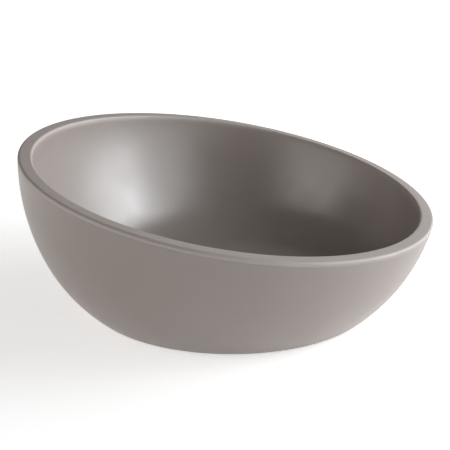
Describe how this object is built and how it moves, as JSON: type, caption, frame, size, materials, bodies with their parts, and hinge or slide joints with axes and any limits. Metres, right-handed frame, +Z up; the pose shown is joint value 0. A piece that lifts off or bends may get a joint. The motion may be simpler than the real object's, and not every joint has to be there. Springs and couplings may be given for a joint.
{
  "type": "slanted serving bowl",
  "caption": "Round double-walled bowl with a slanted flat rim, high on one side and low on the other, for serving or display; satin taupe melamine with a soft non-slip ring under its base.",
  "frame": {"origin": "on the table, under the middle of the base: the centre of the non-slip ring's resting face", "axes": "+Z up along the axis of the base; the rim is highest at -X and lowest at +X; +Y completes the right-handed frame, and the bowl is mirror-symmetric about the XZ plane"},
  "size_m": [0.2458, 0.249, 0.1002],
  "materials": {
    "shell_melamine": "satin-matt moulded taupe",
    "bowl_melamine": "satin moulded taupe, matt on the rim",
    "adhesive": "cured resin",
    "silicone": "matt"
  },
  "bodies": {
    "root": {"outer_shell": "shell_melamine", "inner_bowl": "bowl_melamine", "rim_bond": "adhesive", "floor_bond": "adhesive", "vent_plug": "silicone", "non_slip_ring": "silicone"}
  },
  "joints": []
}
